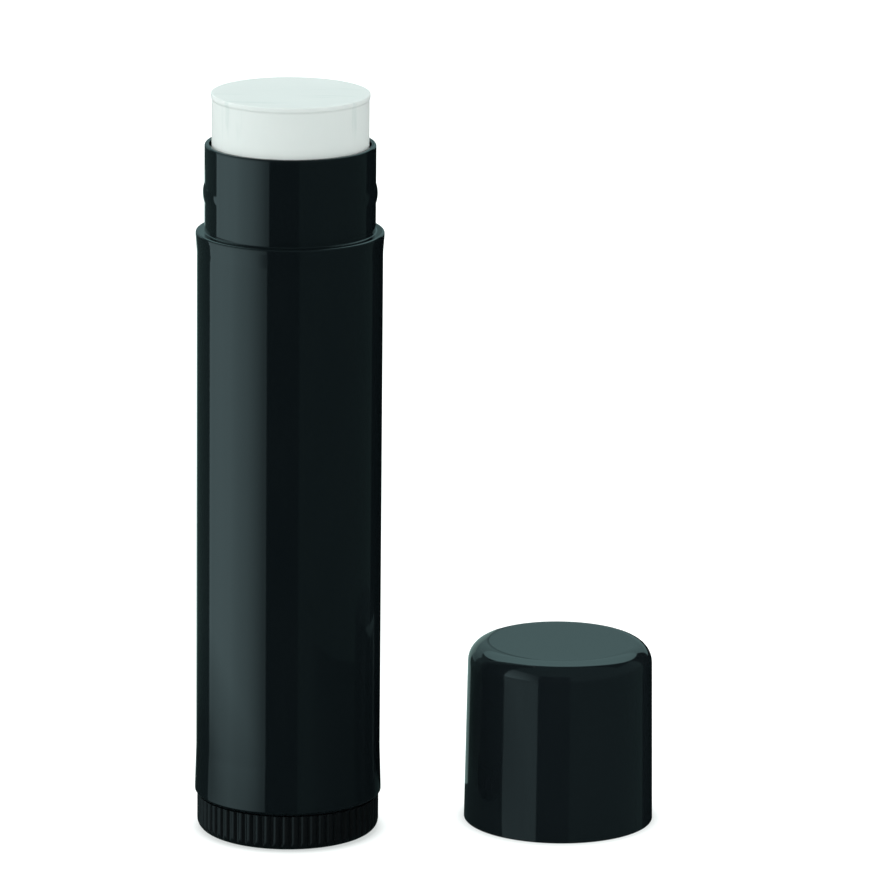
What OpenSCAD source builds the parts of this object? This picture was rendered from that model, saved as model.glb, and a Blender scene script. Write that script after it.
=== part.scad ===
// Twist-up lip balm stick, with its cap taken off and standing beside the tube.
// Millimetres. The tube stands on the floor at the origin, and its axis is +Z.
// Turning the dial clockwise, seen from above, drives the cup and the balm up the screw.

/* [Diameter and walls] */
// Diameter of the cap at its mouth, the widest round; the walls below step inwards from it
cap_d = 16.32; // [14.5:0.02:20]
// Thickness of the cap's wall
cap_wall = 0.83; // [0.6:0.01:1]
// Width of the shoulder that the cap lands on, from the neck out to the barrel's proud bands
shoulder_w = 0.75; // [0.5:0.01:1.2]
// Thickness of the neck's wall
neck_wall = 0.4; // [0.4:0.01:0.7]
// Gap between the balm and the bore
balm_gap = 0.2; // [0.1:0.01:0.5]
// How far the dial's ribs stand in from the barrel's proud bands
wheel_inset = 0.2; // [0:0.01:0.5]

/* [Barrel] */
// Length of the barrel, from its foot to its shoulder
barrel_l = 49.35; // [36:0.05:70]
// How far the label panel is set in below the bands
panel_recess = 0.11; // [0.05:0.01:0.25]
// Height of the plain band under the shoulder
top_band_h = 0.4; // [0.2:0.1:2]
// Height over which the upper band runs out into the panel
top_flare_h = 1.4; // [0.5:0.1:4]
// Height of the plain band at the foot
foot_band_h = 0.5; // [0.4:0.1:2]
// Height over which the foot band runs out into the panel
foot_flare_h = 3.6; // [0.5:0.1:6]
// Round on the shoulder's outer edge
shoulder_round = 0.2; // [0.1:0.05:0.3]
// Chamfer on the outer edge of the foot
foot_chamfer = 0.25; // [0.1:0.05:0.35]

/* [Neck] */
// Length of the neck above the shoulder
neck_l = 7.5; // [5.5:0.1:11]
// Round on the outer edge of the neck's rim
rim_round = 0.2; // [0.05:0.05:0.25]
// Break on the inner edge of the rim, and on the cap's mouth
rim_break = 0.1; // [0.05:0.01:0.15]
// How far the two snap beads stand proud of the neck
bead_rise = 0.14; // [0.08:0.01:0.2]
// Height of a snap bead
bead_h = 1.65; // [1:0.05:2.4]
// Drop from the neck's rim to the middle of the beads
bead_drop = 4.25; // [2:0.05:4.5]
// Angle from a bead's middle to where it runs out into the neck
bead_half_angle = 36; // [20:1:60]

/* [Guide ribs] */
// Number of ribs along the bore that stop the cup from turning
guide_count = 6; // [3:1:8]
// Width of a guide rib
guide_w = 0.7; // [0.4:0.1:1.2]
// How far a guide rib stands into the bore
guide_rise = 0.35; // [0.25:0.05:0.45]
// Drop from the shoulder to the top of the guide ribs
guide_drop = 0.8; // [0.2:0.1:4]

/* [Dial] */
// Height of the wheel
wheel_h = 3.1; // [2.6:0.1:6]
// Number of grip ribs round the wheel
grip_count = 60; // [24:1:60]
// Depth of the valleys between the grip ribs
grip_depth = 0.2; // [0.1:0.02:0.3]
// Gap between two grip ribs, at their widest
grip_gap = 0.1; // [0.06:0.01:0.2]
// Radius of the round at the wheel's lower edge
wheel_round = 1; // [0.5:0.1:1.4]
// Width of the ring that the wheel stands on, inside its rounded edge
foot_ring_w = 0.8; // [0.5:0.1:1.5]
// Depth of the hollow in the wheel's underside
hollow_depth = 0.6; // [0.3:0.1:1]
// Thickness of the wheel's floor
dial_floor_t = 1; // [0.8:0.1:1.4]
// Height of the snap hub above the wheel
hub_l = 4.2; // [3.8:0.1:8]
// Thickness of the snap hub's wall
hub_wall = 1.1; // [0.9:0.1:1.6]
// Number of slots that let the hub spring inwards
hub_slot_count = 4; // [2:1:6]
// Width of a hub slot
hub_slot_w = 1; // [0.6:0.1:1.6]
// Height from the barrel's foot to the middle of its catch ring
catch_h = 1.7; // [1.2:0.1:2.4]
// Radius of the catch ring's round section
catch_section_r = 0.45; // [0.35:0.05:0.48]
// How far the catch ring stands into the bore
catch_rise = 0.23; // [0.16:0.01:0.3]

/* [Screw] */
// Rise of the cup in one turn of the dial
lead = 4; // [3:0.1:6]
// Diameter over the thread
screw_d = 5.2; // [4.4:0.1:6.2]
// Depth of the thread
thread_depth = 0.6; // [0.4:0.05:0.8]
// Height of the thread's flat crest
crest_h = 0.7; // [0.5:0.05:1]
// Height of each of the thread's sloping flanks
flank_h = 0.6; // [0.4:0.05:0.8]
// Height of the tapered tip above the thread
tip_h = 0.6; // [0.4:0.1:1.5]
// How far the plain collar at the foot of the thread stands out beyond it
collar_rise = 0.4; // [0.2:0.1:1]

/* [Elevator cup] */
// Height of the cup
cup_h = 7.5; // [5.5:0.1:12]
// Thickness of the cup's wall
cup_wall = 0.9; // [0.8:0.05:1.2]
// Thickness of the cup's floor
cup_floor_t = 1; // [0.7:0.1:1.6]
// Length of the nut in the middle of the cup
nut_l = 4; // [3:0.1:5]
// Length of the nut that is still on the thread when the balm is fully up
nut_hold = 2.4; // [1:0.1:3]
// Thickness of the nut's wall outside the thread
nut_wall = 0.7; // [0.5:0.05:0.9]
// Diameter of the holes in the floor that the wax keys into
key_hole_d = 1.2; // [0.8:0.1:1.4]
// Drop from the neck's rim to the cup's rim when the balm is fully up
cup_top_drop = 1; // [0.5:0.1:4]

/* [Balm] */
// How much wider the balm's upper edge is, on the radius
balm_lip = 0.08; // [0.02:0.01:0.1]
// Height of the balm's wider upper edge
balm_lip_h = 0.5; // [0.2:0.1:1]
// How far the balm is wound up from its lowest place
raised = 4.35; // [0:0.05:30]

/* [Cap] */
// Height of the cap
cap_h = 15.75; // [13.5:0.05:24]
// Draft of the cap's outer wall, in degrees
cap_draft = 0.9; // [0.2:0.1:1]
// Radius of the round at the cap's top edge
cap_round = 1.8; // [0.8:0.1:2.6]
// Thickness of the cap's top
cap_top_t = 1.2; // [0.8:0.1:2]
// Radius of the cap's inner top corner
cap_inner_round = 1; // [0.5:0.1:1.4]
// Place of the cap's middle beside the tube, along X
cap_x = 23.35; // [18:0.05:60]
// Place of the cap's middle beside the tube, along Y
cap_y = 3.5; // [-20:0.1:20]

/* [Clearances] */
// Radial clearance of the snap hub in the bore
hub_clearance = 0.1; // [0.06:0.01:0.12]
// Gap between the wheel and the barrel's foot
dial_gap = 0.1; // [0.05:0.01:0.3]
// Radial clearance of the cup in the bore
cup_clearance = 0.13; // [0.1:0.01:0.2]
// Clearance of the cup and the balm round a guide rib
guide_clearance = 0.12; // [0.1:0.01:0.15]
// Clearance of the nut round the screw thread
nut_clearance = 0.15; // [0.12:0.01:0.2]
// Clearance of the balm's bore round the screw
bore_clearance = 0.15; // [0.12:0.01:0.3]
// Gap between the balm and the cup that it is cast in
wax_gap = 0.02; // [0.01:0.01:0.05]
// Gap between the hub and the cup, and the screw and the balm, at the lowest place
stop_gap = 0.3; // [0.2:0.05:0.6]
// Radial clearance of the cap on the neck
cap_clearance = 0.08; // [0.05:0.01:0.1]

/* [Hidden] */
$fn = 96;

black = [0.06, 0.08, 0.09];
dark_grey = [0.16, 0.18, 0.19];
white = [0.88, 0.92, 0.9];
// Slices of the screw thread in one turn
slices_per_turn = 14;
// How far a cutting shape runs past the face that it cuts
over = 0.5;

cap_r = cap_d / 2;
cap_mouth_r = cap_r - cap_wall;
neck_r = cap_mouth_r - cap_clearance;
bore_r = neck_r - neck_wall;
barrel_r = neck_r + shoulder_w;
panel_r = barrel_r - panel_recess;
barrel_z = wheel_h + dial_gap;
shoulder_z = barrel_z + barrel_l;
rim_z = shoulder_z + neck_l;

wheel_r = barrel_r - wheel_inset;
hub_r = bore_r - hub_clearance;
hub_z = wheel_h + hub_l;
catch_z = barrel_z + catch_h;
catch_ring_r = bore_r - catch_rise + catch_section_r;
guide_z = hub_z + stop_gap / 2;
guide_top_z = shoulder_z - guide_drop;

screw_r = screw_d / 2;
root_r = screw_r - thread_depth;
cup_low_z = hub_z + stop_gap;
cup_high_z = rim_z - cup_top_drop - cup_h;
screw_top_z = cup_high_z + nut_hold;
cup_z = cup_low_z + raised;
cup_r = bore_r - cup_clearance;
cup_inner_r = cup_r - cup_wall;
nut_r = screw_r + nut_clearance + nut_wall;
guide_slot_r = bore_r - guide_rise - guide_clearance;

balm_r = bore_r - balm_gap;
balm_top_z = rim_z + raised;
balm_bore_r = screw_r + bore_clearance;
balm_bore_top_z = screw_top_z + tip_h + stop_gap + raised;

// Section radius of a bead that is bead_h high and stands bead_rise proud
bead_section_r = (pow(bead_h / 2, 2) + pow(bead_rise, 2)) / (2 * bead_rise);
// Shift of the bead's circle from the axis that lets it sink into the neck at its ends
bead_shift = bead_rise / (1 - cos(bead_half_angle));

// Points of an arc about [x, z], from one angle to another
function arc(x, z, r, from, to, steps) =
    [for (i = [0:steps])
        let (a = from + (to - from) * i / steps) [x + r * cos(a), z + r * sin(a)]];

// Point at a radius and an angle
function polar(r, angle) = [r * cos(angle), r * sin(angle)];

// Cross-section of a single-start screw: the crest, the root, and a point half-way down each flank
function screw_section(root, crest, crest_angle, flank_angle) =
    let (middle = (root + crest) / 2, middle_angle = (crest_angle + flank_angle) / 2,
         root_angle = crest_angle / 2 + flank_angle)
    concat(
        arc(0, 0, crest, -crest_angle / 2, crest_angle / 2, 4),
        [polar(middle, middle_angle)],
        arc(0, 0, root, root_angle, 360 - root_angle, 9),
        [polar(middle, -middle_angle)]);

// Right-hand screw between two heights, in phase with every other one that has the same lead
module screw(from_z, to_z, grow = 0) {
    turns = (to_z - from_z) / lead;
    crest_angle = 360 * (crest_h + 2 * grow) / lead;
    flank_angle = 360 * flank_h / lead;
    section = screw_section(root_r + grow, screw_r + grow, crest_angle, flank_angle);
    translate([0, 0, from_z])
        rotate([0, 0, 360 * from_z / lead])
            linear_extrude(height = to_z - from_z, twist = -360 * turns,
                           slices = ceil(turns * slices_per_turn), segments = len(section))
                polygon(section);
}

// Ring of round section about the axis
module round_ring(middle_r, section_r, z) {
    translate([0, 0, z])
        rotate_extrude()
            translate([middle_r, 0])
                circle(r = section_r);
}

// Ring whose outside is a bead that reaches out to reach, with the section that the neck's beads have
module bead_ring(reach, grow = 0) {
    depth = 0.4;
    rotate_extrude()
        intersection() {
            translate([reach - bead_section_r, 0])
                circle(r = bead_section_r + grow);
            translate([reach - depth, -bead_h])
                square([depth + over, 2 * bead_h]);
        }
}

// Bars laid out round the axis, each running outwards from inner_r
module bars(count, inner_r, outer_r, width, from_z, to_z) {
    for (i = [0:count - 1])
        rotate([0, 0, i * 360 / count])
            translate([inner_r, -width / 2, from_z])
                cube([outer_r - inner_r, width, to_z - from_z]);
}

module barrel_outside() {
    rotate_extrude()
        polygon(concat(
            [[0, barrel_z],
             [barrel_r - foot_chamfer, barrel_z],
             [barrel_r, barrel_z + foot_chamfer],
             [barrel_r, barrel_z + foot_band_h],
             [panel_r, barrel_z + foot_band_h + foot_flare_h],
             [panel_r, shoulder_z - top_band_h - top_flare_h],
             [barrel_r, shoulder_z - top_band_h]],
            arc(barrel_r - shoulder_round, shoulder_z - shoulder_round, shoulder_round, 0, 90, 4),
            [[neck_r, shoulder_z]],
            arc(neck_r - rim_round, rim_z - rim_round, rim_round, 0, 90, 4),
            [[0, rim_z]]));
}

module neck_beads() {
    for (side = [0, 180])
        rotate([0, 0, side])
            translate([bead_shift, 0, rim_z - bead_drop])
                bead_ring(neck_r + bead_rise - bead_shift);
}

module barrel_bore() {
    translate([0, 0, barrel_z - over])
        cylinder(r = bore_r, h = rim_z - barrel_z + 2 * over);
    translate([0, 0, rim_z - rim_break])
        cylinder(r1 = bore_r, r2 = bore_r + 2 * rim_break, h = 2 * rim_break);
    translate([0, 0, barrel_z - foot_chamfer])
        cylinder(r1 = bore_r + 2 * foot_chamfer, r2 = bore_r, h = 2 * foot_chamfer);
}

module barrel() {
    color(black) {
        difference() {
            union() {
                barrel_outside();
                neck_beads();
            }
            barrel_bore();
        }
        round_ring(catch_ring_r, catch_section_r, catch_z);
        bars(guide_count, bore_r - guide_rise, (bore_r + panel_r) / 2, guide_w, guide_z, guide_top_z);
    }
}

// Wheel with rounded grip ribs, and a rounded lower edge
module wheel() {
    grip_r = (2 * PI * wheel_r / grip_count - grip_gap) / 2;
    // The rounded envelope stands just clear of the ribs, so that it cuts only their lower ends
    edge_r = wheel_r + grip_depth / 4;
    intersection() {
        linear_extrude(height = wheel_h) {
            circle(r = wheel_r - grip_depth);
            for (i = [0:grip_count - 1])
                rotate(i * 360 / grip_count)
                    translate([wheel_r - grip_r, 0])
                        circle(r = grip_r, $fn = 24);
        }
        rotate_extrude() {
            square([edge_r - wheel_round, wheel_h + over]);
            translate([0, wheel_round])
                square([edge_r, wheel_h + over - wheel_round]);
            translate([edge_r - wheel_round, wheel_round])
                circle(r = wheel_round);
        }
    }
}

module hub_outside() {
    lead_in = 0.3;
    rotate_extrude()
        polygon([[0, wheel_h - over],
                 [hub_r, wheel_h - over],
                 [hub_r, hub_z - lead_in],
                 [hub_r - lead_in, hub_z],
                 [0, hub_z]]);
}

module screw_tip() {
    tip_step = 0.1;
    tip_r = root_r - tip_step;
    rotate_extrude()
        polygon([[0, screw_top_z - over],
                 [tip_r, screw_top_z - over],
                 [tip_r, screw_top_z],
                 [tip_r - tip_h, screw_top_z + tip_h],
                 [0, screw_top_z + tip_h]]);
}

module dial() {
    hollow_r = wheel_r - wheel_round - foot_ring_w;
    floor_z = hollow_depth + dial_floor_t;
    color(black) {
        difference() {
            union() {
                wheel();
                hub_outside();
            }
            translate([0, 0, -over])
                cylinder(r = hollow_r, h = over + hollow_depth);
            translate([0, 0, floor_z])
                cylinder(r = hub_r - hub_wall, h = hub_z - floor_z + over);
            round_ring(catch_ring_r, catch_section_r + hub_clearance, catch_z);
            bars(hub_slot_count, hub_r - hub_wall - over, hub_r + over, hub_slot_w,
                 wheel_h + dial_gap, hub_z + over);
        }
        translate([0, 0, floor_z - dial_floor_t / 2])
            cylinder(r = screw_r + collar_rise, h = hub_z - floor_z + dial_floor_t / 2);
        screw(hub_z - over, screw_top_z);
        screw_tip();
    }
}

module elevator_cup() {
    key_ring_r = (nut_r + cup_inner_r) / 2;
    color(dark_grey)
        difference() {
            translate([0, 0, cup_z])
                rotate_extrude() {
                    square([cup_r, cup_floor_t]);
                    square([nut_r, nut_l]);
                    translate([cup_inner_r, 0])
                        square([cup_wall, cup_h]);
                }
            screw(cup_z - over, cup_z + nut_l + over, nut_clearance);
            bars(guide_count, guide_slot_r, cup_r + over, guide_w + 2 * guide_clearance,
                 cup_z - over, cup_z + cup_h + over);
            for (i = [0:guide_count - 1])
                rotate([0, 0, (i + 0.5) * 360 / guide_count])
                    translate([key_ring_r, 0, cup_z - over])
                        cylinder(d = key_hole_d, h = cup_floor_t + 2 * over);
        }
}

// The stick, with its lower end cast in the cup and round the nut
module balm_stick() {
    floor_z = cup_z + cup_floor_t + wax_gap;
    nut_top_z = cup_z + nut_l + wax_gap;
    cup_rim_z = cup_z + cup_h + wax_gap;
    rotate_extrude()
        polygon([[nut_r + wax_gap, floor_z],
                 [cup_inner_r - wax_gap, floor_z],
                 [cup_inner_r - wax_gap, cup_rim_z],
                 [balm_r, cup_rim_z],
                 [balm_r, balm_top_z - balm_lip_h],
                 [balm_r + balm_lip, balm_top_z],
                 [0, balm_top_z],
                 [0, balm_bore_top_z],
                 [balm_bore_r, balm_bore_top_z],
                 [balm_bore_r, nut_top_z],
                 [nut_r + wax_gap, nut_top_z]]);
}

module balm() {
    color(white)
        difference() {
            balm_stick();
            bars(guide_count, guide_slot_r, balm_r + over, guide_w + 2 * guide_clearance,
                 cup_z + cup_h - over, guide_top_z + guide_clearance + raised);
        }
}

module cap_outside() {
    round_z = cap_h - cap_round;
    round_x = cap_r - round_z * tan(cap_draft) - cap_round / cos(cap_draft);
    rotate_extrude() {
        polygon([[0, 0],
                 [cap_r, 0],
                 [round_x + cap_round * cos(cap_draft), round_z + cap_round * sin(cap_draft)],
                 [round_x, cap_h],
                 [0, cap_h]]);
        translate([round_x, round_z])
            circle(r = cap_round);
    }
}

module cap_inside() {
    inner_top_z = cap_h - cap_top_t;
    top_r = cap_mouth_r - inner_top_z * tan(cap_draft);
    rotate_extrude()
        polygon(concat(
            [[0, -over],
             [cap_mouth_r + over + rim_break, -over],
             [cap_mouth_r, rim_break],
             [cap_mouth_r, neck_l + stop_gap]],
            arc(top_r - cap_inner_round, inner_top_z - cap_inner_round, cap_inner_round, 0, 90, 5),
            [[0, inner_top_z]]));
}

module cap() {
    color(black)
        translate([cap_x, cap_y, 0])
            difference() {
                cap_outside();
                cap_inside();
                translate([0, 0, neck_l - bead_drop])
                    bead_ring(neck_r + bead_rise, cap_clearance);
            }
}

barrel();
dial();
elevator_cup();
balm();
cap();
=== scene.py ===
# %% [markdown]
# A lip balm stick, dressed for its portrait. The real object is four glossy black mouldings and a
# stick of white balm: a barrel with a neck, a ribbed dial at its foot, a push-on cap that stands
# beside it, and a hidden cup that a screw drives up the barrel. The imported model gives every
# piece its size and its motion. This file gives each one smooth, rounded surfaces and a finish,
# then sets up the light and the camera. We start by opening the imported model.

# %% Open the imported model
import math

import bmesh
import bpy
import numpy as np
from mathutils import Matrix, Vector


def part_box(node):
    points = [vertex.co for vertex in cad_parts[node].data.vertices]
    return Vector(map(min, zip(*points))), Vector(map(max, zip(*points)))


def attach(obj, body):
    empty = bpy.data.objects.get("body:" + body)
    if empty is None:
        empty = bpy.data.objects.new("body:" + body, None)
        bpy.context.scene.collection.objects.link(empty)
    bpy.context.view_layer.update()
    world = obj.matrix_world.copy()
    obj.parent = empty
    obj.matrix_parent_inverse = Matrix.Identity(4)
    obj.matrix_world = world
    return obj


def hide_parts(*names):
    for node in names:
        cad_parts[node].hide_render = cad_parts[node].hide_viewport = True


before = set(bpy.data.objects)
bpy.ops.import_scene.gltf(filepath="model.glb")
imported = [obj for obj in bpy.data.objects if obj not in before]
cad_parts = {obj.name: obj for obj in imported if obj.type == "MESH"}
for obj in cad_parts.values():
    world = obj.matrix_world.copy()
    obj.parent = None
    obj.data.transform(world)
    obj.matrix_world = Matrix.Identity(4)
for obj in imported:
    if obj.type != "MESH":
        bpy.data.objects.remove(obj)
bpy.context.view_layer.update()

# %% [markdown]
# Everything here is turned on a lathe or moulded round, so nearly every size is a radius or a
# height. The outer ones can be read off the model's own boxes. The rest, such as the depth of the
# label panel or the width of a rib, are written down once here, in millimetres.

# %% Sizes read from the model
MM = 0.001


def radius_and_heights(node):
    """Outer radius, foot and top of a node, in millimetres."""
    low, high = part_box(node)
    return (high.x - low.x) / 2 / MM, low.z / MM, high.z / MM


barrel_r, foot_z, rim_z = radius_and_heights("barrel")
wheel_r, _, tip_z = radius_and_heights("dial")
balm_lip_r, _, balm_top_z = radius_and_heights("balm")
_, cup_z, cup_rim_z = radius_and_heights("elevator_cup")
cap_r, _, cap_top_z = radius_and_heights("cap")
cap_place = sum(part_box("cap"), Vector()) / 2
cap_place.z = 0
print(f"barrel radius {barrel_r:.2f}, neck rim at {rim_z:.2f}, balm up to {balm_top_z:.2f} mm")

# %% Sizes of the mouldings
neck_r, neck_length = 7.25, 7.5
bore_r = 6.85
bead_drop = 4.25  # from the rim down to the middle of the snap beads
panel_depth = 0.11
running_gap = 0.1  # between two pieces that turn on each other
shoulder_z = rim_z - neck_length
panel_r = barrel_r - panel_depth
wheel_top = foot_z - running_gap
hub_r = bore_r - running_gap
hub_top = wheel_top + 4.2
catch_z = foot_z + 1.7
guide_count, guide_half_width, guide_height = 6, 0.35, 0.35
guide_low, guide_high = hub_top + 0.15, shoulder_z - 0.8
guide_r = bore_r - guide_height
lip_overhang = 0.08
balm_r = balm_lip_r - lip_overhang
screw_crest_r, screw_root_r, screw_lead = 2.6, 2.0, 4.0
print(f"shoulder at {shoulder_z:.2f}, wheel {wheel_top:.2f} high, hub up to {hub_top:.2f} mm")

# %% [markdown]
# Moulded plastic has no truly sharp corner: each edge carries a small round, and on gloss black
# that round is what catches the light. So an outline is first written as plain corners, each with
# the radius of its round, and a helper turns the corners into arcs. A guard point just outside
# each arc keeps the smooth shading of the round from bleeding into the long flat wall beside it.

# %% Outlines with rounded corners
def rounded(corners, closed, degrees_per_step=9, guard=0.04, most_of_a_side=0.49):
    """Points of an outline whose corners (radius, height, round) are replaced by arcs."""
    points = []
    count = len(corners)
    for i, (x, z, size) in enumerate(corners):
        corner = Vector((x, z))
        at_end = not closed and i in (0, count - 1)
        if at_end or size <= 0:
            points.append(corner)
            continue
        to_last = Vector(corners[i - 1][:2]) - corner
        to_next = Vector(corners[(i + 1) % count][:2]) - corner
        half = to_last.angle(to_next) / 2
        reach = size / math.tan(half)
        room = most_of_a_side * min(to_last.length, to_next.length)
        if reach > room:
            reach, size = room, room * math.tan(half)
        start = corner + to_last.normalized() * reach
        end = corner + to_next.normalized() * reach
        inwards = (to_last.normalized() + to_next.normalized()).normalized()
        middle = corner + inwards * size / math.sin(half)
        turn = math.pi - 2 * half
        steps = max(2, math.ceil(math.degrees(turn) / degrees_per_step))
        sweep = (start - middle).angle_signed(end - middle, 0)
        points.append(start + to_last.normalized() * guard)
        for k in range(steps + 1):
            points.append(middle + Matrix.Rotation(-sweep * k / steps, 2) @ (start - middle))
        points.append(end + to_next.normalized() * guard)
    return [(p.x, p.y) for p in points]


def straight_wall(x, low, high, step):
    """Plain corners up or down a straight wall, so that a pattern can be raised on it."""
    steps = max(1, round(abs(high - low) / step))
    return [(x, low + (high - low) * k / steps, 0) for k in range(steps + 1)]


print(len(rounded([(0, 0, 0), (5, 0, 1), (5, 9, 0)], closed=False)), "points in a test outline")

# %% [markdown]
# The outline is then spun about the tube's axis. A modifier could do this, but a small mesh
# builder of our own lets a rule change the radius from point to point. That one rule is enough to
# raise the snap beads, cut the grip ribs of the dial and plough the guide grooves of the balm.

# %% A lathe with a rule
ON_THE_AXIS = 1e-6
COLUMNS = 360  # one strip of faces for each degree
SAME = 0.001  # two radii or heights closer than this, in millimetres, are the same


def lathe(outline, columns, closed, rule=None):
    """Vertices and faces of an outline spun about Z. rule(r, z, angle) may change the radius."""
    angle = 2 * math.pi * np.arange(columns) / columns
    points, faces, rows = [], [], []
    for r, z in outline:
        if r < ON_THE_AXIS:
            rows.append([len(points)] * columns)
            points.append((0, 0, z * MM))
            continue
        radius = np.full(columns, r) if rule is None else rule(r, z, angle)
        rows.append(list(range(len(points), len(points) + columns)))
        ring = [radius * np.cos(angle), radius * np.sin(angle), np.full(columns, z)]
        points.extend(map(tuple, np.stack(ring, 1) * MM))
    next_rows = rows[1:] + rows[:1] if closed else rows[1:]
    for low, high in zip(rows, next_rows):
        for i in range(columns):
            j = (i + 1) % columns
            face = [low[i], low[j], high[j], high[i]]
            faces.append(list(dict.fromkeys(face)))  # two corners that meet on the axis become one
    return points, faces


def make_piece(name, shells, material, smooth_below=40):
    """One object from one or more shells, shaded smooth except at real corners."""
    mesh = bpy.data.meshes.new(name)
    points, faces = [], []
    for shell_points, shell_faces in shells:
        start = len(points)
        points += shell_points
        faces += [[start + i for i in face] for face in shell_faces]
    mesh.from_pydata(points, [], faces)
    work = bmesh.new()
    work.from_mesh(mesh)
    bmesh.ops.recalc_face_normals(work, faces=work.faces)
    work.to_mesh(mesh)
    work.free()
    mesh.shade_smooth()
    mesh.set_sharp_from_angle(angle=math.radians(smooth_below))
    mesh.materials.append(material)
    piece = bpy.data.objects.new(name, mesh)
    bpy.context.scene.collection.objects.link(piece)
    print(f"{name}: {len(mesh.polygons)} faces")
    return piece


def stand_in_for(piece, node, body):
    """The piece moves with its body and is shown instead of the plain node."""
    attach(piece, body)
    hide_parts(node)


# %% [markdown]
# A finish is never perfectly even. Gloss mouldings show a trace of flow in the surface, and wax
# shows cloudy patches and wipe marks. Both come from the same recipe, noise that nudges
# roughness, colour and height, so it is built once as a node group and then used with different
# values.

# %% A node group for uneven surfaces
def new_group(name, inputs, outputs):
    """Empty shader group with float inputs and outputs, and its two end nodes."""
    group = bpy.data.node_groups.new(name, "ShaderNodeTree")
    for socket, value in inputs.items():
        made = group.interface.new_socket(socket, in_out="INPUT", socket_type="NodeSocketFloat")
        made.default_value = value
    for socket in outputs:
        group.interface.new_socket(socket, in_out="OUTPUT", socket_type="NodeSocketFloat")
    return group, group.nodes.new("NodeGroupInput"), group.nodes.new("NodeGroupOutput")


def build_uneven_group():
    """Noise stretched by its inputs, given out as a plain mask and as a roughness."""
    pattern = {"Scale": 300.0, "Stretch Y": 1.0, "Stretch Z": 1.0, "Detail": 3.0}
    finish = {"Middle": 0.1, "Spread": 0.02}
    group, given, result = new_group("uneven surface", pattern | finish, ["Mask", "Roughness"])
    nodes, links = group.nodes, group.links
    place = nodes.new("ShaderNodeTexCoord")
    squeeze = nodes.new("ShaderNodeCombineXYZ")
    squeeze.inputs["X"].default_value = 1.0
    scaled = nodes.new("ShaderNodeVectorMath")
    scaled.operation = "MULTIPLY"
    noise = nodes.new("ShaderNodeTexNoise")
    rough = nodes.new("ShaderNodeMapRange")
    links.new(given.outputs["Stretch Y"], squeeze.inputs["Y"])
    links.new(given.outputs["Stretch Z"], squeeze.inputs["Z"])
    links.new(place.outputs["Object"], scaled.inputs[0])
    links.new(squeeze.outputs[0], scaled.inputs[1])
    links.new(scaled.outputs[0], noise.inputs["Vector"])
    links.new(given.outputs["Scale"], noise.inputs["Scale"])
    links.new(given.outputs["Detail"], noise.inputs["Detail"])
    for operation, end in (("SUBTRACT", "To Min"), ("ADD", "To Max")):
        limit = nodes.new("ShaderNodeMath")
        limit.operation = operation
        links.new(given.outputs["Middle"], limit.inputs[0])
        links.new(given.outputs["Spread"], limit.inputs[1])
        links.new(limit.outputs[0], rough.inputs[end])
    links.new(noise.outputs["Fac"], rough.inputs["Value"])
    links.new(noise.outputs["Fac"], result.inputs["Mask"])
    links.new(rough.outputs["Result"], result.inputs["Roughness"])
    return group


uneven = build_uneven_group()
print("node group:", uneven.name, [s.name for s in uneven.interface.items_tree])

# %% [markdown]
# The black plastic is a polished injection moulding. Its colour is nearly nothing, a blue-green
# black, so what the eye reads is almost all reflection: a low, slightly wandering roughness and
# the faintest ripple in height. The cap is the same plastic, but its colour is painted a touch
# paler. That is painted light, for the brighter look the cap has beside the tube. The dial is left
# finely matt for the thumb, and mirrors less.

# %% Black plastic
PLASTIC_IOR, WAX_IOR = 1.46, 1.44


def new_material(name):
    """A material with a Principled shader, ready for its nodes."""
    material = bpy.data.materials.new(name)
    material.use_nodes = True
    return material, material.node_tree.nodes, material.node_tree.links


def place_group(nodes, group, **values):
    """The group as a node, with its inputs set by name."""
    node = nodes.new("ShaderNodeGroup")
    node.node_tree = group
    for name, value in values.items():
        node.inputs[name.replace("_", " ")].default_value = value
    return node


def mix_colours(nodes, first, second):
    """A Mix node between two colours."""
    mix = nodes.new("ShaderNodeMix")
    mix.data_type = "RGBA"
    mix.inputs["A"].default_value = (*first, 1)
    mix.inputs["B"].default_value = (*second, 1)
    return mix


def add_bump(nodes, links, height, shader, distance):
    """Lets a height bend the light, through a Bump node that feeds the shader."""
    bump = nodes.new("ShaderNodeBump")
    bump.inputs["Strength"].default_value = 1.0
    bump.inputs["Distance"].default_value = distance
    links.new(height, bump.inputs["Height"])
    links.new(bump.outputs["Normal"], shader.inputs["Normal"])


def black_plastic(name, colour, pale_colour, roughness, spread, ripple, shine=0.5):
    """Gloss or satin black moulding, with a little drift in colour, roughness and height."""
    material, nodes, links = new_material(name)
    shader = nodes["Principled BSDF"]
    shader.inputs["IOR"].default_value = PLASTIC_IOR
    shader.inputs["Specular IOR Level"].default_value = shine
    flow = place_group(nodes, uneven, Scale=260.0, Stretch_Z=0.35, Detail=2.0)
    flow.inputs["Middle"].default_value = roughness
    flow.inputs["Spread"].default_value = spread
    grain = place_group(nodes, uneven, Scale=1500.0)
    tone = mix_colours(nodes, colour, pale_colour)
    links.new(flow.outputs["Mask"], tone.inputs["Factor"])
    links.new(tone.outputs["Result"], shader.inputs["Base Color"])
    links.new(flow.outputs["Roughness"], shader.inputs["Roughness"])
    add_bump(nodes, links, grain.outputs["Mask"], shader, ripple)
    return material


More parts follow.
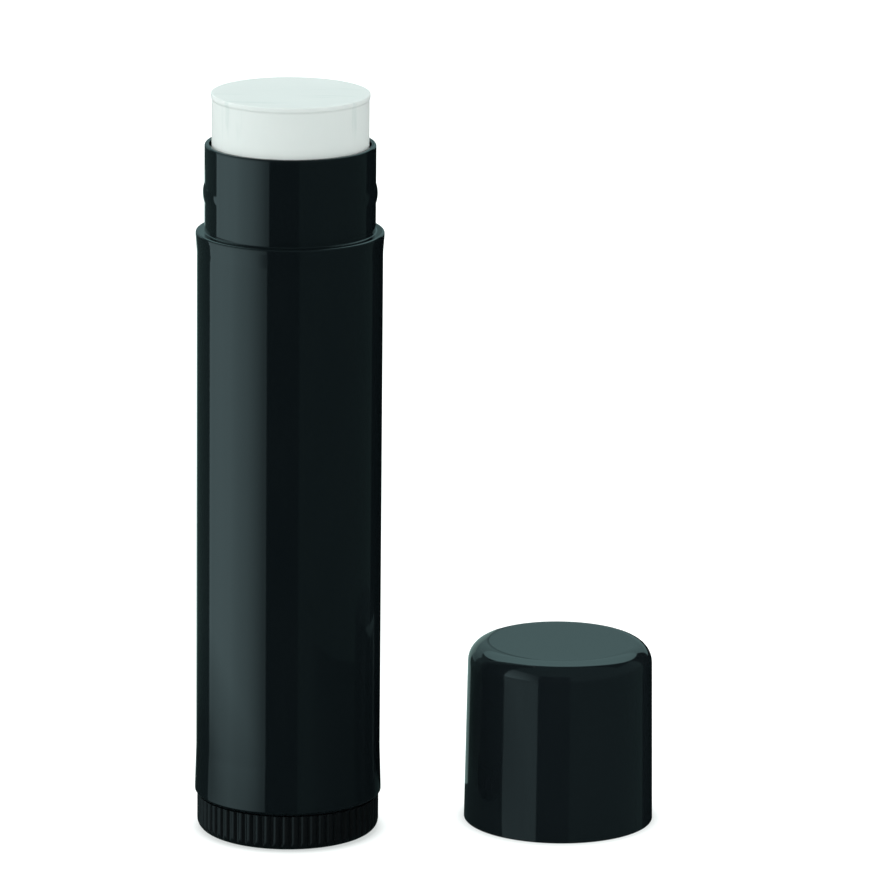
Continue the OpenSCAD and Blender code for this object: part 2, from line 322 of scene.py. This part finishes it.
polish = {"roughness": 0.075, "spread": 0.02, "ripple": 0.0000015}
gloss_black = black_plastic(
    "gloss black plastic", (0.0036, 0.0062, 0.0075), (0.0050, 0.0080, 0.0092), **polish
)
# The cap's two colours are the tube's black painted paler: painted light, not a different plastic.
cap_black_with_painted_light = black_plastic(
    "cap black plastic with painted light", (0.0056, 0.0090, 0.0108), (0.0072, 0.0112, 0.0130), **polish
)
grip_black = black_plastic(
    "grip black plastic",
    (0.0025, 0.0042, 0.0052),
    (0.0036, 0.0058, 0.0068),
    roughness=0.37,
    spread=0.04,
    ripple=0.000003,
    shine=0.32,
)
satin_black = black_plastic(
    "satin black plastic",
    (0.010, 0.013, 0.014),
    (0.014, 0.018, 0.019),
    roughness=0.35,
    spread=0.08,
    ripple=0.000004,
)
print("materials:", [m.name for m in (gloss_black, cap_black_with_painted_light, grip_black, satin_black)])

# %% [markdown]
# The balm is a hard wax: white with a breath of cool green, soft inside, so light sinks in and
# comes out again a little way off. Noise that is squeezed from front to back gives it a few long,
# faint smears, where the highest values of the mask darken the colour.

# %% Balm wax
def balm_wax(smear_colour, smears_from, smears_full, smear_depth):
    """Cool white wax with cloudy patches, light under the skin and soft smears."""
    material, nodes, links = new_material("balm wax")
    shader = nodes["Principled BSDF"]
    shader.inputs["IOR"].default_value = WAX_IOR
    shader.inputs["Subsurface Weight"].default_value = 0.15
    shader.inputs["Subsurface Radius"].default_value = (0.9, 1.0, 1.0)
    shader.inputs["Subsurface Scale"].default_value = 0.0006
    shader.inputs["Specular IOR Level"].default_value = 0.2
    clouds = place_group(nodes, uneven, Scale=180.0, Detail=4.0, Middle=0.42, Spread=0.07)
    smears = place_group(nodes, uneven, Scale=150.0, Stretch_Y=9.0, Detail=3.0)
    tone = mix_colours(nodes, (0.745, 0.822, 0.795), (0.795, 0.867, 0.84))
    streaked = mix_colours(nodes, (0, 0, 0), smear_colour)
    streak = nodes.new("ShaderNodeMapRange")
    streak.inputs["From Min"].default_value = smears_from
    streak.inputs["From Max"].default_value = smears_full
    streak.inputs["To Max"].default_value = 0.6
    links.new(clouds.outputs["Mask"], tone.inputs["Factor"])
    links.new(smears.outputs["Mask"], streak.inputs["Value"])
    links.new(streak.outputs["Result"], streaked.inputs["Factor"])
    links.new(tone.outputs["Result"], streaked.inputs["A"])
    links.new(streaked.outputs["Result"], shader.inputs["Base Color"])
    links.new(clouds.outputs["Roughness"], shader.inputs["Roughness"])
    add_bump(nodes, links, smears.outputs["Mask"], shader, smear_depth)
    return material


wax = balm_wax((0.66, 0.76, 0.73), smears_from=0.6, smears_full=0.72, smear_depth=0.00002)
print("material:", wax.name)

# %% [markdown]
# The barrel is one closed moulding. Its outline runs up the outside, over the shoulder and the
# neck, and back down the bore. The label panel sits a little below the bands at both ends, and
# long soft rounds lead it out to them. The rule then raises two snap beads on the neck. Each bead
# is a ring whose middle is shifted sideways, so it stands proud at the side and sinks in before
# it reaches the front. The same rule raises the six guide ribs in the bore.

# %% Barrel
bead_middle_z = rim_z - bead_drop
bead_rise, bead_height, bead_half_angle = 0.14, 1.65, math.radians(36)
bead_section_r = ((bead_height / 2) ** 2 + bead_rise**2) / (2 * bead_rise)
bead_shift = bead_rise / (1 - math.cos(bead_half_angle))
bead_span = 1.1  # finely stepped wall above and below the bead's middle
catch_height, catch_half_width = 0.23, 0.39
chamfer = 0.25
rib_start = 0.02  # half the height over which a rib or a groove begins


def bead_reach(z, angle):
    """How far out the nearer of the two snap beads reaches at a height and an angle."""
    ring_r = neck_r + bead_rise - bead_shift
    across = np.abs(np.cos(angle))
    out = bead_shift * across + np.sqrt(ring_r**2 - (bead_shift * np.sin(angle)) ** 2)
    rise = math.sqrt(max(0.0, bead_section_r**2 - (z - bead_middle_z) ** 2))
    return out - (bead_section_r - rise)


def near_guide(angle, half_width):
    """True on the columns that lie within a guide rib, or within its groove."""
    pitch = 2 * math.pi / guide_count
    offset = (angle + pitch / 2) % pitch - pitch / 2
    return np.abs(offset) < half_width


def barrel_rule(r, z, angle):
    """Snap beads on the neck and guide ribs in the bore."""
    radius = np.full(len(angle), r)
    if abs(r - neck_r) < SAME and abs(z - bead_middle_z) < bead_height:
        radius = np.maximum(radius, bead_reach(z, angle))
    if abs(r - bore_r) < SAME and guide_low < z < guide_high:
        radius[near_guide(angle, guide_half_width / guide_r)] = guide_r
    return radius


def barrel_outline():
    """Closed outline: foot, label panel, shoulder, neck, and back down the bore."""
    outside = [
        (bore_r + chamfer, foot_z, 0.05),
        (barrel_r - chamfer, foot_z, 0.08),
        (barrel_r, foot_z + chamfer, 0.12),
        (barrel_r, foot_z + 0.5, 1.2),  # top of the lower band
        (panel_r, foot_z + 4.1, 12.0),  # a long soft round leads into the label panel
        (panel_r, shoulder_z - 1.8, 5.0),
        (barrel_r, shoulder_z - 0.4, 0.8),  # foot of the upper band
        (barrel_r, shoulder_z, 0.2),
        (neck_r, shoulder_z, 0.12),
    ]
    neck = straight_wall(neck_r, bead_middle_z - bead_span, bead_middle_z + bead_span, 0.1)
    rim = [(neck_r, rim_z, 0.3), (bore_r, rim_z, 0.08)]
    bore = [
        (bore_r, guide_high + rib_start, 0),
        (bore_r, guide_high - rib_start, 0),
        (bore_r, guide_low + rib_start, 0),
        (bore_r, guide_low - rib_start, 0),
        (bore_r, catch_z + catch_half_width, 0.1),
        (bore_r - catch_height, catch_z, 0.4),
        (bore_r, catch_z - catch_half_width, 0.1),
        (bore_r, foot_z + chamfer, 0.05),
    ]
    return rounded(outside + neck + rim + bore, closed=True)


barrel_shell = lathe(barrel_outline(), COLUMNS, True, barrel_rule)
barrel = make_piece("barrel_moulding", [barrel_shell], gloss_black)
stand_in_for(barrel, "barrel", "barrel")

# %% [markdown]
# The dial is the only part a thumb touches, so its rim is all grip: sixty upright ribs with
# rounded crests and narrow valleys, trimmed by the big round at the wheel's lower edge. Above the
# wheel, the hub's groove snaps over the catch ring in the bore, and a coarse screw rises up the
# barrel. The screw is a second shell: its rule moves the radius in and out as the angle and the
# height change together, which is all that a thread is.

# %% Dial
grip_count, grip_depth, grip_gap = 60, 0.2, 0.1
wheel_round, foot_ring, hollow_z = 1.0, 0.8, 0.6
hub_wall, hub_chamfer = 1.1, 0.3
hub_groove_depth, hub_groove_half_width = 0.25, 0.5
well_z = 1.6  # floor between the hub and the collar round the screw
collar_r = screw_crest_r + 0.4
columns_per_rib = 12
thread_columns, thread_step = 72, 0.2


def grip_rule(r, z, angle):
    """Rounded ribs round the wheel's rim, cut off where the lower edge turns under."""
    radius = np.full(len(angle), r)
    if z > wheel_top - SAME or r < wheel_r - grip_depth - SAME:
        return radius
    pitch = 2 * math.pi / grip_count
    rib_r = (math.pi * 2 * wheel_r / grip_count - grip_gap) / 2
    across = ((angle + pitch / 2) % pitch - pitch / 2) * wheel_r
    drop = rib_r - np.sqrt(np.maximum(rib_r**2 - across**2, 0))
    return np.minimum(radius, wheel_r - np.minimum(drop, grip_depth))


def dial_outline():
    """Outline from the middle of the underside, round the wheel and hub, to the collar's top."""
    hollow_r = wheel_r - wheel_round - foot_ring
    return rounded(
        [
            (0, hollow_z, 0),
            (hollow_r, hollow_z, 0.25),
            (hollow_r, 0, 0.12),
            (wheel_r, 0, wheel_round),
            (wheel_r, wheel_top, 0.06),
            (hub_r, wheel_top, 0.04),
            (hub_r, catch_z - hub_groove_half_width, 0.08),
            (hub_r - hub_groove_depth, catch_z, 0.45),
            (hub_r, catch_z + hub_groove_half_width, 0.08),
            (hub_r, hub_top - hub_chamfer, 0.1),
            (hub_r - hub_chamfer, hub_top, 0.1),
            (hub_r - hub_wall, hub_top, 0.1),
            (hub_r - hub_wall, well_z, 0.3),
            (collar_r, well_z, 0.3),
            (collar_r, hub_top, 0.15),
            (0, hub_top, 0),
        ],
        closed=False,
    )


def thread_rule(r, z, angle):
    """Right-hand single-start thread, phased as the nut in the cup expects it."""
    if r < screw_root_r - SAME:
        return np.full(len(angle), r)
    crest, flank = 0.7, 0.6
    turn = (angle / (2 * math.pi) - z / screw_lead + 0.5) % 1 - 0.5
    away = np.abs(turn) * screw_lead
    depth = np.clip((away - crest / 2) / flank, 0, 1)
    return screw_crest_r - (screw_crest_r - screw_root_r) * depth


thread_low, thread_top = hub_top - 0.5, tip_z - 0.6
thread_wall = straight_wall(screw_root_r, thread_low, thread_top, thread_step)
screw_outline = [
    (0, thread_low),
    *[(x, z) for x, z, _ in thread_wall],
    (screw_root_r - 0.1, thread_top),
    (screw_root_r - 0.7, tip_z),
    (0, tip_z),
]
wheel_shell = lathe(dial_outline(), columns_per_rib * grip_count, False, grip_rule)
screw_shell = lathe(screw_outline, thread_columns, False, thread_rule)
dial = make_piece("dial_moulding", [wheel_shell, screw_shell], grip_black)
stand_in_for(dial, "dial", "dial")

# %% [markdown]
# The balm is cast in the tube, so its side is a print of the bore, with a groove for each guide
# rib on the part that starts below them. Warm wax slumps as it is levelled, and leaves a lip at
# the upper edge, a shade wider than the rest. The rule cuts the six grooves, which show once the
# balm is wound up.

# %% Balm
raised = balm_top_z - rim_z
groove_gap = 0.12  # between a guide rib and its groove, all round
groove_top = guide_high + groove_gap + raised
balm_bore_r = screw_crest_r + 0.15
balm_bore_top = tip_z + 0.3 + raised
nut_r = screw_crest_r + 0.85
lip_height, lip_run = 0.36, 0.54
seat_r, seat_gap = 5.8, 0.02  # the wax fills the cup to within the seat gap
cup_floor, nut_height = 1.0, 4.0


def balm_rule(r, z, angle):
    """Six grooves that the guide ribs run in."""
    radius = np.full(len(angle), r)
    if cup_rim_z < z < groove_top and abs(r - balm_r) < SAME:
        radius[near_guide(angle, (guide_half_width + groove_gap) / guide_r)] = guide_r - groove_gap
    return radius


def balm_outline():
    """Outline from the middle of the top, down the side, round the nut and up the bore."""
    rings_on_top = [(x, balm_top_z, 0) for x in (0, 1.5, 3.0, 4.5, 5.6)]
    seat_z, nut_top = cup_z + cup_floor + seat_gap, cup_z + nut_height + seat_gap
    return rounded(
        rings_on_top
        + [
            (balm_lip_r, balm_top_z, 0.1),
            (balm_lip_r, balm_top_z - lip_height, 0.1),
            (balm_r, balm_top_z - lip_run, 0.12),
            (balm_r, groove_top + rib_start, 0),
            (balm_r, groove_top - rib_start, 0),
            (balm_r, cup_rim_z + rib_start, 0),
            (seat_r, cup_rim_z + rib_start, 0),
            (seat_r, seat_z, 0.1),
            (nut_r + seat_gap, seat_z, 0),
            (nut_r + seat_gap, nut_top, 0),
            (balm_bore_r, nut_top, 0),
            (balm_bore_r, balm_bore_top, 0.3),
            (0, balm_bore_top, 0),
        ],
        closed=False,
    )


balm = make_piece("balm_stick", [lathe(balm_outline(), COLUMNS, False, balm_rule)], wax)
stand_in_for(balm, "balm", "elevator")

# %% [markdown]
# The cap is a thin cup with a generous round at its closed end. Its wall leans in a little
# towards the top, the draft that lets it leave the mould. Inside, a shallow groove waits for the
# snap beads. It is spun about its own axis and then moved to its place beside the tube.

# %% Cap
cap_draft = math.tan(math.radians(0.9))
cap_top_wall, cap_side_wall, cap_round = 1.2, 0.83, 1.8
inner_top_z = cap_top_z - cap_top_wall
inner_top_r = cap_r - inner_top_z * cap_draft - cap_side_wall
mouth_gap = 0.08  # between the cap's mouth and the neck
mouth_r = neck_r + mouth_gap
groove_z = neck_length - bead_drop  # meets the beads when the cap is on
groove_depth, groove_half_width = 0.14, 1.3


def cap_outline():
    """Outline from the middle of the top, down the outside, and up the inside."""
    return rounded(
        [
            (0, cap_top_z, 0),
            (cap_r - cap_top_z * cap_draft, cap_top_z, cap_round),
            (cap_r, 0, 0.1),
            (mouth_r + 0.1, 0, 0.04),
            (mouth_r, 0.1, 0.04),
            (mouth_r, groove_z - groove_half_width, 0.4),
            (mouth_r + groove_depth, groove_z, 2.5),
            (mouth_r, groove_z + groove_half_width, 0.4),
            (mouth_r, neck_length + 0.3, 0.5),
            (inner_top_r, inner_top_z, 1.0),
            (0, inner_top_z, 0),
        ],
        closed=False,
    )


cap = make_piece("cap_moulding", [lathe(cap_outline(), COLUMNS, False)], cap_black_with_painted_light)
cap.location = cap_place
stand_in_for(cap, "cap", "cap")

# %% [markdown]
# The elevator cup hides inside the barrel and already has its true shape, so it stays as packed
# and only takes a finish: a duller black, as an inner part that nobody polishes.

# %% Elevator cup
elevator_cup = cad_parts["elevator_cup"]
elevator_cup.data.materials.clear()
elevator_cup.data.materials.append(satin_black)
print("elevator cup keeps its", len(elevator_cup.data.polygons), "faces")

# %% [markdown]
# Gloss black has no look of its own: it shows what stands round it. So this studio is built for
# its reflections. Each light is a plane, its brightness follows one curve along it and another up
# it, as a softbox fades towards its border, and only mirror reflections can see it. Every card
# has curves of its own, which a node group can't take as inputs, so a helper builds them. We
# start with the plane and the curve.

# %% A plane, and a value that fades across it
UV_MIDDLE = (0.5, 0.5)


def plane_between(name, corners, material):
    """A stage plane from three corners (origin, along, up), with a UV of 0 to 1 both ways."""
    origin, along, up = (Vector(c) * MM for c in corners)
    mesh = bpy.data.meshes.new(name)
    mesh.from_pydata([origin, along, along + up - origin, up], [], [(0, 1, 2, 3)])
    layer = mesh.uv_layers.new(name="card")
    for loop, uv in zip(layer.data, [(0, 0), (1, 0), (1, 1), (0, 1)]):
        loop.uv = uv
    mesh.materials.append(material)
    made = bpy.data.objects.new(name, mesh)
    bpy.context.scene.collection.objects.link(made)
    made.visible_camera = made.visible_diffuse = made.visible_shadow = False
    return made


def fade(nodes, links, axis, stops):
    """A value that follows stops (place, value) along a UV axis, or out from the middle."""
    place = nodes.new("ShaderNodeUVMap")
    if axis == "middle":
        split = nodes.new("ShaderNodeVectorMath")
        split.operation = "DISTANCE"
        split.inputs[1].default_value = (*UV_MIDDLE, 0)
    else:
        split = nodes.new("ShaderNodeSeparateXYZ")
    curve = nodes.new("ShaderNodeFloatCurve")
    points = curve.mapping.curves[0].points
    while len(points) < len(stops):
        points.new(*UV_MIDDLE)
    for point, (at, value) in zip(points, stops):
        point.location = (at, value)
        point.handle_type = "VECTOR"
    curve.mapping.update()
    links.new(place.outputs["UV"], split.inputs[0])
    links.new(split.outputs["Value" if axis == "middle" else axis], curve.inputs["Value"])
    return curve.outputs[0]


def product(nodes, links, a, b):
    """Node output a times b, where b is a node output or a number."""
    both = nodes.new("ShaderNodeMath")
    both.operation = "MULTIPLY"
    links.new(a, both.inputs[0])
    if isinstance(b, (int, float)):
        both.inputs[1].default_value = b
    else:
        links.new(b, both.inputs[1])
    return both.outputs[0]


print("helpers for the light:", [f.__name__ for f in (plane_between, fade, product)])

# %% [markdown]
# Two kinds of plane use it. A card glows, and a card without strength is a black flag that hides
# what stands behind it. A scrim is a grey net: it lets through only a part of what is mirrored.
# Neither one is seen by the camera, throws a shadow or lights the wax, so each can be moved to
# mend one reflection and nothing else. To find where one must stand, follow the camera's line to a
# spot on the plastic and bounce it off: a flat top sends it up and back, an upright wall sends it
# down and to the side, and a round edge fans it out over all that lies between.

# %% Cards and scrims
EVEN = ((0, 1), (1, 1))


def card(name, corners, colour, strength, across=EVEN, up=EVEN, rim=EVEN):
    """A glowing card that only mirror reflections see, faded along, up and out to its rim."""
    material, nodes, links = new_material(name)
    nodes.remove(nodes["Principled BSDF"])
    glow = nodes.new("ShaderNodeEmission")
    glow.inputs["Color"].default_value = (*colour, 1)
    level = product(nodes, links, fade(nodes, links, "X", across), fade(nodes, links, "Y", up))
    level = product(nodes, links, level, fade(nodes, links, "middle", rim))
    links.new(product(nodes, links, level, strength), glow.inputs["Strength"])
    links.new(glow.outputs[0], nodes["Material Output"].inputs["Surface"])
    return plane_between(name, corners, material)


def scrim(name, corners, stops, axis="X"):
    """A grey net that dims what is mirrored through it, by a fade along or out from its middle."""
    material, nodes, links = new_material(name)
    nodes.remove(nodes["Principled BSDF"])
    net = nodes.new("ShaderNodeBsdfTransparent")
    links.new(fade(nodes, links, axis, stops), net.inputs["Color"])
    links.new(net.outputs[0], nodes["Material Output"].inputs["Surface"])
    return plane_between(name, corners, material)


COOL_WHITE = (0.61, 1.0, 1.01)
DIM = (0.02, 0.035, 0.035)
print("kinds of plane:", [f.__name__ for f in (card, scrim)])

# %% [markdown]
# Four cards are lit. A very large one, far to the left, gives the tall pale band down the barrel
# and the narrower one on the cap. A low one behind draws the bright line down the left edges. A
# high one behind lights the flat tops, the shoulder and the rim, and a fourth carries it on
# overhead, brighter because the rounds at the edges mirror less than a flat top seen at a slant.
# Their colour is the cool white of a daylight lamp.

# %% Lit cards
card(
    "left_card",
    [(-914, -1779, -1500), (-1795, 883, -1500), (-914, -1779, 1300)],
    (0.69, 1.0, 1.04),
    strength=1.55,
    across=[
        *[(0, 0.28), (0.07, 0.30), (0.16, 0.47), (0.32, 0.77)],
        *[(0.55, 1), (0.70, 0.87), (0.89, 0.61), (1, 0.6)],
    ],
    up=[(0, 0), (0.2, 0.1), (0.29, 0.6), (0.33, 1), (0.45, 1), (0.65, 0.7), (1, 0.3)],
)
card(
    "back_left_card",
    [(-37, 95, -60), (14, 95, -60), (-37, 95, 37)],
    (0.65, 1.0, 0.95),
    strength=0.5,
)
card(
    "back_card",
    [(-420, 420, 20), (260, 420, 20), (-420, 420, 260)],
    COOL_WHITE,
    strength=0.85,
    across=[(0, 0.69), (0.6, 0.69), (0.617, 0.43), (0.63, 0.43), (0.645, 0.78), (1, 0.78)],
    up=[(0, 0.5), (0.44, 0.56), (0.54, 0.67), (1, 0.92)],
)
card(
    "top_card",
    [(-377, 17, 330), (423, 17, 330), (-377, 773, 330)],
    COOL_WHITE,
    strength=2.75,
    up=[(0, 1), (0.09, 0.82), (0.22, 0.62), (0.41, 0.42), (0.7, 0.28), (1, 0.28)],
    rim=[(0, 1), (0.455, 1), (0.485, 0), (1, 0)],
)

# %% [markdown]
# The dark side of the studio matters as much. A flag in front and one behind on the right cut the
# pale band off with a straight edge and keep the right sides deep. A third, next to black, lies
# just under the floor beneath the tube, where the cap would mirror light that comes from below
# ground. The two scrims soften the lit cards where the photograph is darker: in the cap, and near
# the foot of the tube.

# %% Flags and scrims
front_flag = [(-914, -1779, -1500), (450, -1949, -1500), (-914, -1779, 1300)]
back_flag = [(1638, 1147, -1500), (100, 2000, -1500), (1638, 1147, 1300)]
foot_flag = [(0, -8.1, -0.15), (20, -2.7, -0.15), (0, 10, -0.15)]
card("dark_front_card", front_flag, DIM, strength=0)
card("dark_back_card", back_flag, DIM, strength=0)
card("dark_foot_card", foot_flag, DIM, strength=1)
scrim(
    "cap_scrim",
    [(10, -30, -40), (10, -4, -40), (10, -30, 15)],
    [(0, 1), (0.29, 1), (0.46, 0.67), (0.61, 0.47), (0.8, 0.37), (0.96, 0.33), (1, 0.33)],
)
scrim(
    "foot_scrim",
    [(-72, -36, -0.3), (28, -36, -0.3), (-72, 64, -0.3)],
    [(0, 0.3), (0.13, 0.33), (0.24, 0.6), (0.36, 0.78), (0.48, 1), (1, 1)],
    axis="middle",
)

# %% [markdown]
# The floor is a pale light table. To the camera it glows by itself, and the Ambient Occlusion
# node takes some of that glow away within a millimetre or two of whatever stands on it, which
# leaves the thin shade of contact that a catalogue picture has. It is left out of the
# reflections, or the whole front of the tube would mirror it and turn grey.

# %% Floor
def pale_floor(half_size, reach, shaded, clear, grey, lit_glow):
    """A wide pale plane that glows, less where something stands within its reach."""
    mesh = bpy.data.meshes.new("floor")
    corners = [(-half_size, -half_size, 0), (half_size, -half_size, 0)]
    corners += [(half_size, half_size, 0), (-half_size, half_size, 0)]
    mesh.from_pydata(corners, [], [(0, 1, 2, 3)])
    material, nodes, links = new_material("pale floor")
    shader = nodes["Principled BSDF"]
    shader.inputs["Base Color"].default_value = (grey, grey, grey, 1)
    shader.inputs["Roughness"].default_value = 0.9
    shader.inputs["Specular IOR Level"].default_value = 0.0
    shader.inputs["Emission Color"].default_value = (0.95, 1, 0.99, 1)
    near = nodes.new("ShaderNodeAmbientOcclusion")
    near.inputs["Distance"].default_value = reach
    shade = nodes.new("ShaderNodeMapRange")
    shade.inputs["From Min"].default_value = 0.45
    shade.inputs["From Max"].default_value = 0.95
    shade.inputs["To Min"].default_value = shaded
    shade.inputs["To Max"].default_value = clear
    seen = nodes.new("ShaderNodeLightPath")
    glow = nodes.new("ShaderNodeMix")
    glow.inputs["A"].default_value = lit_glow
    links.new(near.outputs["AO"], shade.inputs["Value"])
    links.new(shade.outputs["Result"], glow.inputs["B"])
    links.new(seen.outputs["Is Camera Ray"], glow.inputs["Factor"])
    links.new(glow.outputs["Result"], shader.inputs["Emission Strength"])
    mesh.materials.append(material)
    floor = bpy.data.objects.new("floor", mesh)
    bpy.context.scene.collection.objects.link(floor)
    floor.visible_glossy = False
    return floor


floor = pale_floor(
    half_size=3.0, reach=0.0016, shaded=0.57, clear=1.0, grey=0.35, lit_glow=0.08
)
print("floor:", [round(side, 1) for side in floor.dimensions[:2]], "m")

# %% [markdown]
# The world is what lights the white balm. It is soft from every side, strongest along the horizon
# and a little more from the left, so the balm's side stays bright down to the rim and turns
# slightly as a round body does. For mirror reflections the same world is a near black, with a
# trace of teal that keeps the plastic from going dead and a little more of it overhead, so that
# the flat tops read as tops from every side. For the camera it is plain white.

# %% World
WHITE = (1, 1, 1)


def studio_world(level, lean, dark, overhead):
    """Soft light by direction, next to dark in mirror reflections, white to the camera."""
    world = bpy.data.worlds.new("studio")
    bpy.context.scene.world = world
    world.use_nodes = True
    nodes, links = world.node_tree.nodes, world.node_tree.links
    direction = nodes.new("ShaderNodeTexCoord")
    towards = nodes.new("ShaderNodeVectorMath")
    towards.operation = "DOT_PRODUCT"
    towards.inputs[1].default_value = lean
    soft = nodes.new("ShaderNodeMath")
    soft.inputs[1].default_value = level
    height = nodes.new("ShaderNodeSeparateXYZ")
    raised = nodes.new("ShaderNodeMapRange")
    raised.inputs["From Min"].default_value = 0.05
    raised.inputs["From Max"].default_value = 0.25
    mirrored = mix_colours(nodes, dark, overhead)
    path = nodes.new("ShaderNodeLightPath")
    for_gloss = mix_colours(nodes, WHITE, WHITE)
    for_camera = mix_colours(nodes, WHITE, WHITE)
    links.new(direction.outputs["Generated"], towards.inputs[0])
    links.new(towards.outputs["Value"], soft.inputs[0])
    links.new(direction.outputs["Generated"], height.inputs[0])
    links.new(height.outputs["Z"], raised.inputs["Value"])
    links.new(raised.outputs["Result"], mirrored.inputs["Factor"])
    links.new(soft.outputs[0], for_gloss.inputs["A"])
    links.new(mirrored.outputs["Result"], for_gloss.inputs["B"])
    links.new(path.outputs["Is Glossy Ray"], for_gloss.inputs["Factor"])
    links.new(for_gloss.outputs["Result"], for_camera.inputs["A"])
    links.new(path.outputs["Is Camera Ray"], for_camera.inputs["Factor"])
    links.new(for_camera.outputs["Result"], nodes["Background"].inputs["Color"])


studio_world(
    level=2.5,
    lean=(-0.38, 0.32, -2.22),
    dark=(0.036, 0.065, 0.061),
    overhead=(0.080, 0.135, 0.135),
)
scene = bpy.context.scene
scene.view_settings.view_transform = "Standard"
scene.view_settings.look = "None"
print("view transform:", scene.view_settings.view_transform)

# %% [markdown]
# The camera looks down a little from a good distance through a long lens, which keeps the tube's
# sides all but parallel. Its place was found from the ovals that the rims draw in the photograph:
# the higher a rim stands, the flatter its oval. A slight roll matches the lean of the picture.

# %% Camera
def photo_camera(place, pitch_down, roll, lens):
    """The camera that sees the object from the photograph's angle."""
    data = bpy.data.cameras.new("photo_camera")
    data.sensor_width = 36
    data.lens = lens
    data.clip_start, data.clip_end = 0.01, 50
    camera = bpy.data.objects.new("photo_camera", data)
    scene.collection.objects.link(camera)
    tilt = Matrix.Rotation(math.radians(90 - pitch_down), 4, "X")
    aim = tilt @ Matrix.Rotation(roll, 4, "Z")
    camera.matrix_world = Matrix.Translation(Vector(place) * MM) @ aim
    scene.camera = camera
    return camera


photo_camera(place=(12.83, -620.4, 189.1), pitch_down=14.004, roll=0.0092, lens=307.3)
print("camera looks from", [round(c, 3) for c in scene.camera.location])

# %% [markdown]
# Last, the view layer is brought up to date.

# %% Finish
bpy.context.view_layer.update()
